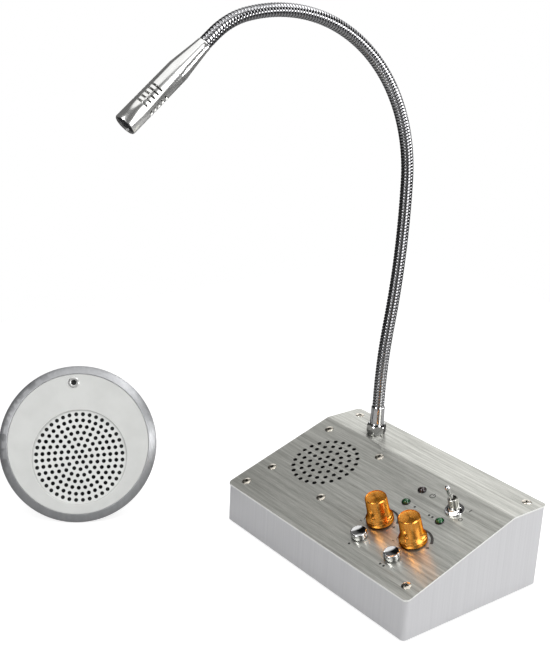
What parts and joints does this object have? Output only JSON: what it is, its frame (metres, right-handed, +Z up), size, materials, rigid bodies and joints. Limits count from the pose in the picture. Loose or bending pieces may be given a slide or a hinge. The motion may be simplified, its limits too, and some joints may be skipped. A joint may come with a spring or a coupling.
{
  "type": "service window intercom",
  "caption": "Desk intercom for a service window: sloped console with gooseneck microphone, knobs, push buttons and switch, plus a round speaking unit for the far side of the glass.",
  "frame": {"origin": "centre of the console's underside, on the plane of the floor's outer face, 1.5 mm above what its rubber feet stand on; it is the centre of the four counter fixing holes", "axes": "+Z up, -Y the console's low front edge and the side its user sits at, +X to the user's right"},
  "size_m": [0.2829, 0.2352, 0.3387],
  "materials": {
    "housing_paint": "satin silver-grey paint on sheet metal",
    "panel_metal": "brushed across its width",
    "foot_rubber": "matt",
    "screw_metal": "zinc plated, slightly yellow",
    "chrome": "polished",
    "neck_chrome": "polished wound tube",
    "knob_gold": "turned, gold anodised",
    "nut_metal": "plain plated",
    "gasket_foam": "matt",
    "basket_steel": "semi-matt",
    "cone_paper": "matt pressed paper",
    "magnet_grey": "ground",
    "board_green": "solder mask",
    "can_sleeve": "shrunk sleeve",
    "chip_heatsink": "extruded, plain",
    "header_cream": "moulded",
    "socket_black": "moulded",
    "pot_metal": "pressed",
    "switch_black": "moulded",
    "spring_steel": "bright wire",
    "bezel_black": "moulded",
    "lamp_green": "tinted lens",
    "lamp_dark": "dark tinted lens",
    "capsule_metal": "plain",
    "grille_dark": "matt black",
    "ring_metal": "machined",
    "face_metal": "smooth pale grey",
    "outer_can_black": "matt black"
  },
  "bodies": {
    "console": {"housing": "housing_paint", "rubber_feet": "foot_rubber", "top_panel": "panel_metal", "panel_screws": "screw_metal", "speaker_gasket": "gasket_foam", "speaker_frame": "basket_steel", "speaker_cone": "cone_paper", "speaker_magnet": "magnet_grey", "speaker_screws": "screw_metal", "speaker_nuts": "nut_metal", "main_board": "board_green", "board_screws": "screw_metal", "capacitors": "can_sleeve", "amplifier_chip": "chip_heatsink", "wire_headers": "header_cream", "power_inlet": "socket_black", "line_sockets": "socket_black", "pot_bodies": "pot_metal", "pot_nuts": "nut_metal", "button_nuts": "chrome", "button_switches": "switch_black", "button_spring_1": "spring_steel", "button_spring_2": "spring_steel", "lamp_holders": "bezel_black", "channel_lamps": "lamp_green", "power_lamp": "lamp_dark", "toggle_body": "pot_metal", "toggle_washer": "chrome", "toggle_nut": "chrome", "neck_nut": "chrome", "neck_ferrule": "chrome", "neck_lock_nut": "nut_metal", "neck_root": "neck_chrome", "outer_ring": "ring_metal", "outer_face": "face_metal", "outer_grille": "face_metal", "outer_mic_eyelet": "chrome", "outer_mic_capsule": "switch_black", "outer_gasket": "gasket_foam", "outer_speaker_frame": "basket_steel", "outer_speaker_cone": "cone_paper", "outer_speaker_magnet": "magnet_grey", "outer_can": "outer_can_black", "outer_socket": "socket_black", "outer_screws": "outer_can_black"},
    "knob_left": {"pot_shaft_1": "nut_metal", "knob_1": "knob_gold"},
    "knob_right": {"pot_shaft_2": "nut_metal", "knob_2": "knob_gold"},
    "button_left": {"button_cap_1": "chrome"},
    "button_right": {"button_cap_2": "chrome"},
    "switch_lever": {"toggle_lever": "chrome"},
    "neck_lower_part": {"neck_lower": "neck_chrome"},
    "neck_middle_part": {"neck_middle": "neck_chrome"},
    "neck_arch_part": {"neck_arch": "neck_chrome"},
    "microphone": {"neck_end": "neck_chrome", "mic_shell": "chrome", "mic_grille": "grille_dark", "mic_capsule": "capsule_metal"}
  },
  "joints": [
    {"name": "knob_left_turn", "type": "hinge", "parent": "console", "child": "knob_left", "pos_m": [0.0239, -0.02152, 0.03803], "axis": [0, -0.3105, 0.9506], "range_deg": [-150, 150]},
    {"name": "knob_right_turn", "type": "hinge", "parent": "console", "child": "knob_right", "pos_m": [0.0528, -0.02152, 0.03803], "axis": [0, -0.3105, 0.9506], "range_deg": [-150, 150]},
    {"name": "button_left_press", "type": "slide", "parent": "console", "child": "button_left", "axis": [0, 0.3105, -0.9506], "range_m": [0, 0.0008], "stiffness_N_per_m": 1500, "springref_m": -0.0003, "deforming": ["button_spring_1"]},
    {"name": "button_right_press", "type": "slide", "parent": "console", "child": "button_right", "axis": [0, 0.3105, -0.9506], "range_m": [0, 0.0008], "stiffness_N_per_m": 1500, "springref_m": -0.0003, "deforming": ["button_spring_2"]},
    {"name": "switch_flip", "type": "hinge", "parent": "console", "child": "switch_lever", "pos_m": [0.0528, 0.01026, 0.05282], "axis": [-1, 0, 0], "range_deg": [0, 20]},
    {"name": "neck_foot_bend", "type": "hinge", "parent": "console", "child": "neck_lower_part", "pos_m": [-0.048, 0.03887, 0.09799], "axis": [1, 0, 0], "range_deg": [-12, 12]},
    {"name": "neck_side_bend", "type": "hinge", "parent": "neck_lower_part", "child": "neck_middle_part", "pos_m": [-0.048, 0.04652, 0.17358], "axis": [0, 0.9979, -0.0654], "range_deg": [-12, 12]},
    {"name": "neck_arch_bend", "type": "hinge", "parent": "neck_middle_part", "child": "neck_arch_part", "pos_m": [-0.048, 0.03619, 0.27185], "axis": [1, 0, 0], "range_deg": [-12, 12]},
    {"name": "neck_tip_bend", "type": "hinge", "parent": "neck_arch_part", "child": "microphone", "pos_m": [-0.048, -0.04005, 0.33115], "axis": [1, 0, 0], "range_deg": [-12, 12]}
  ]
}
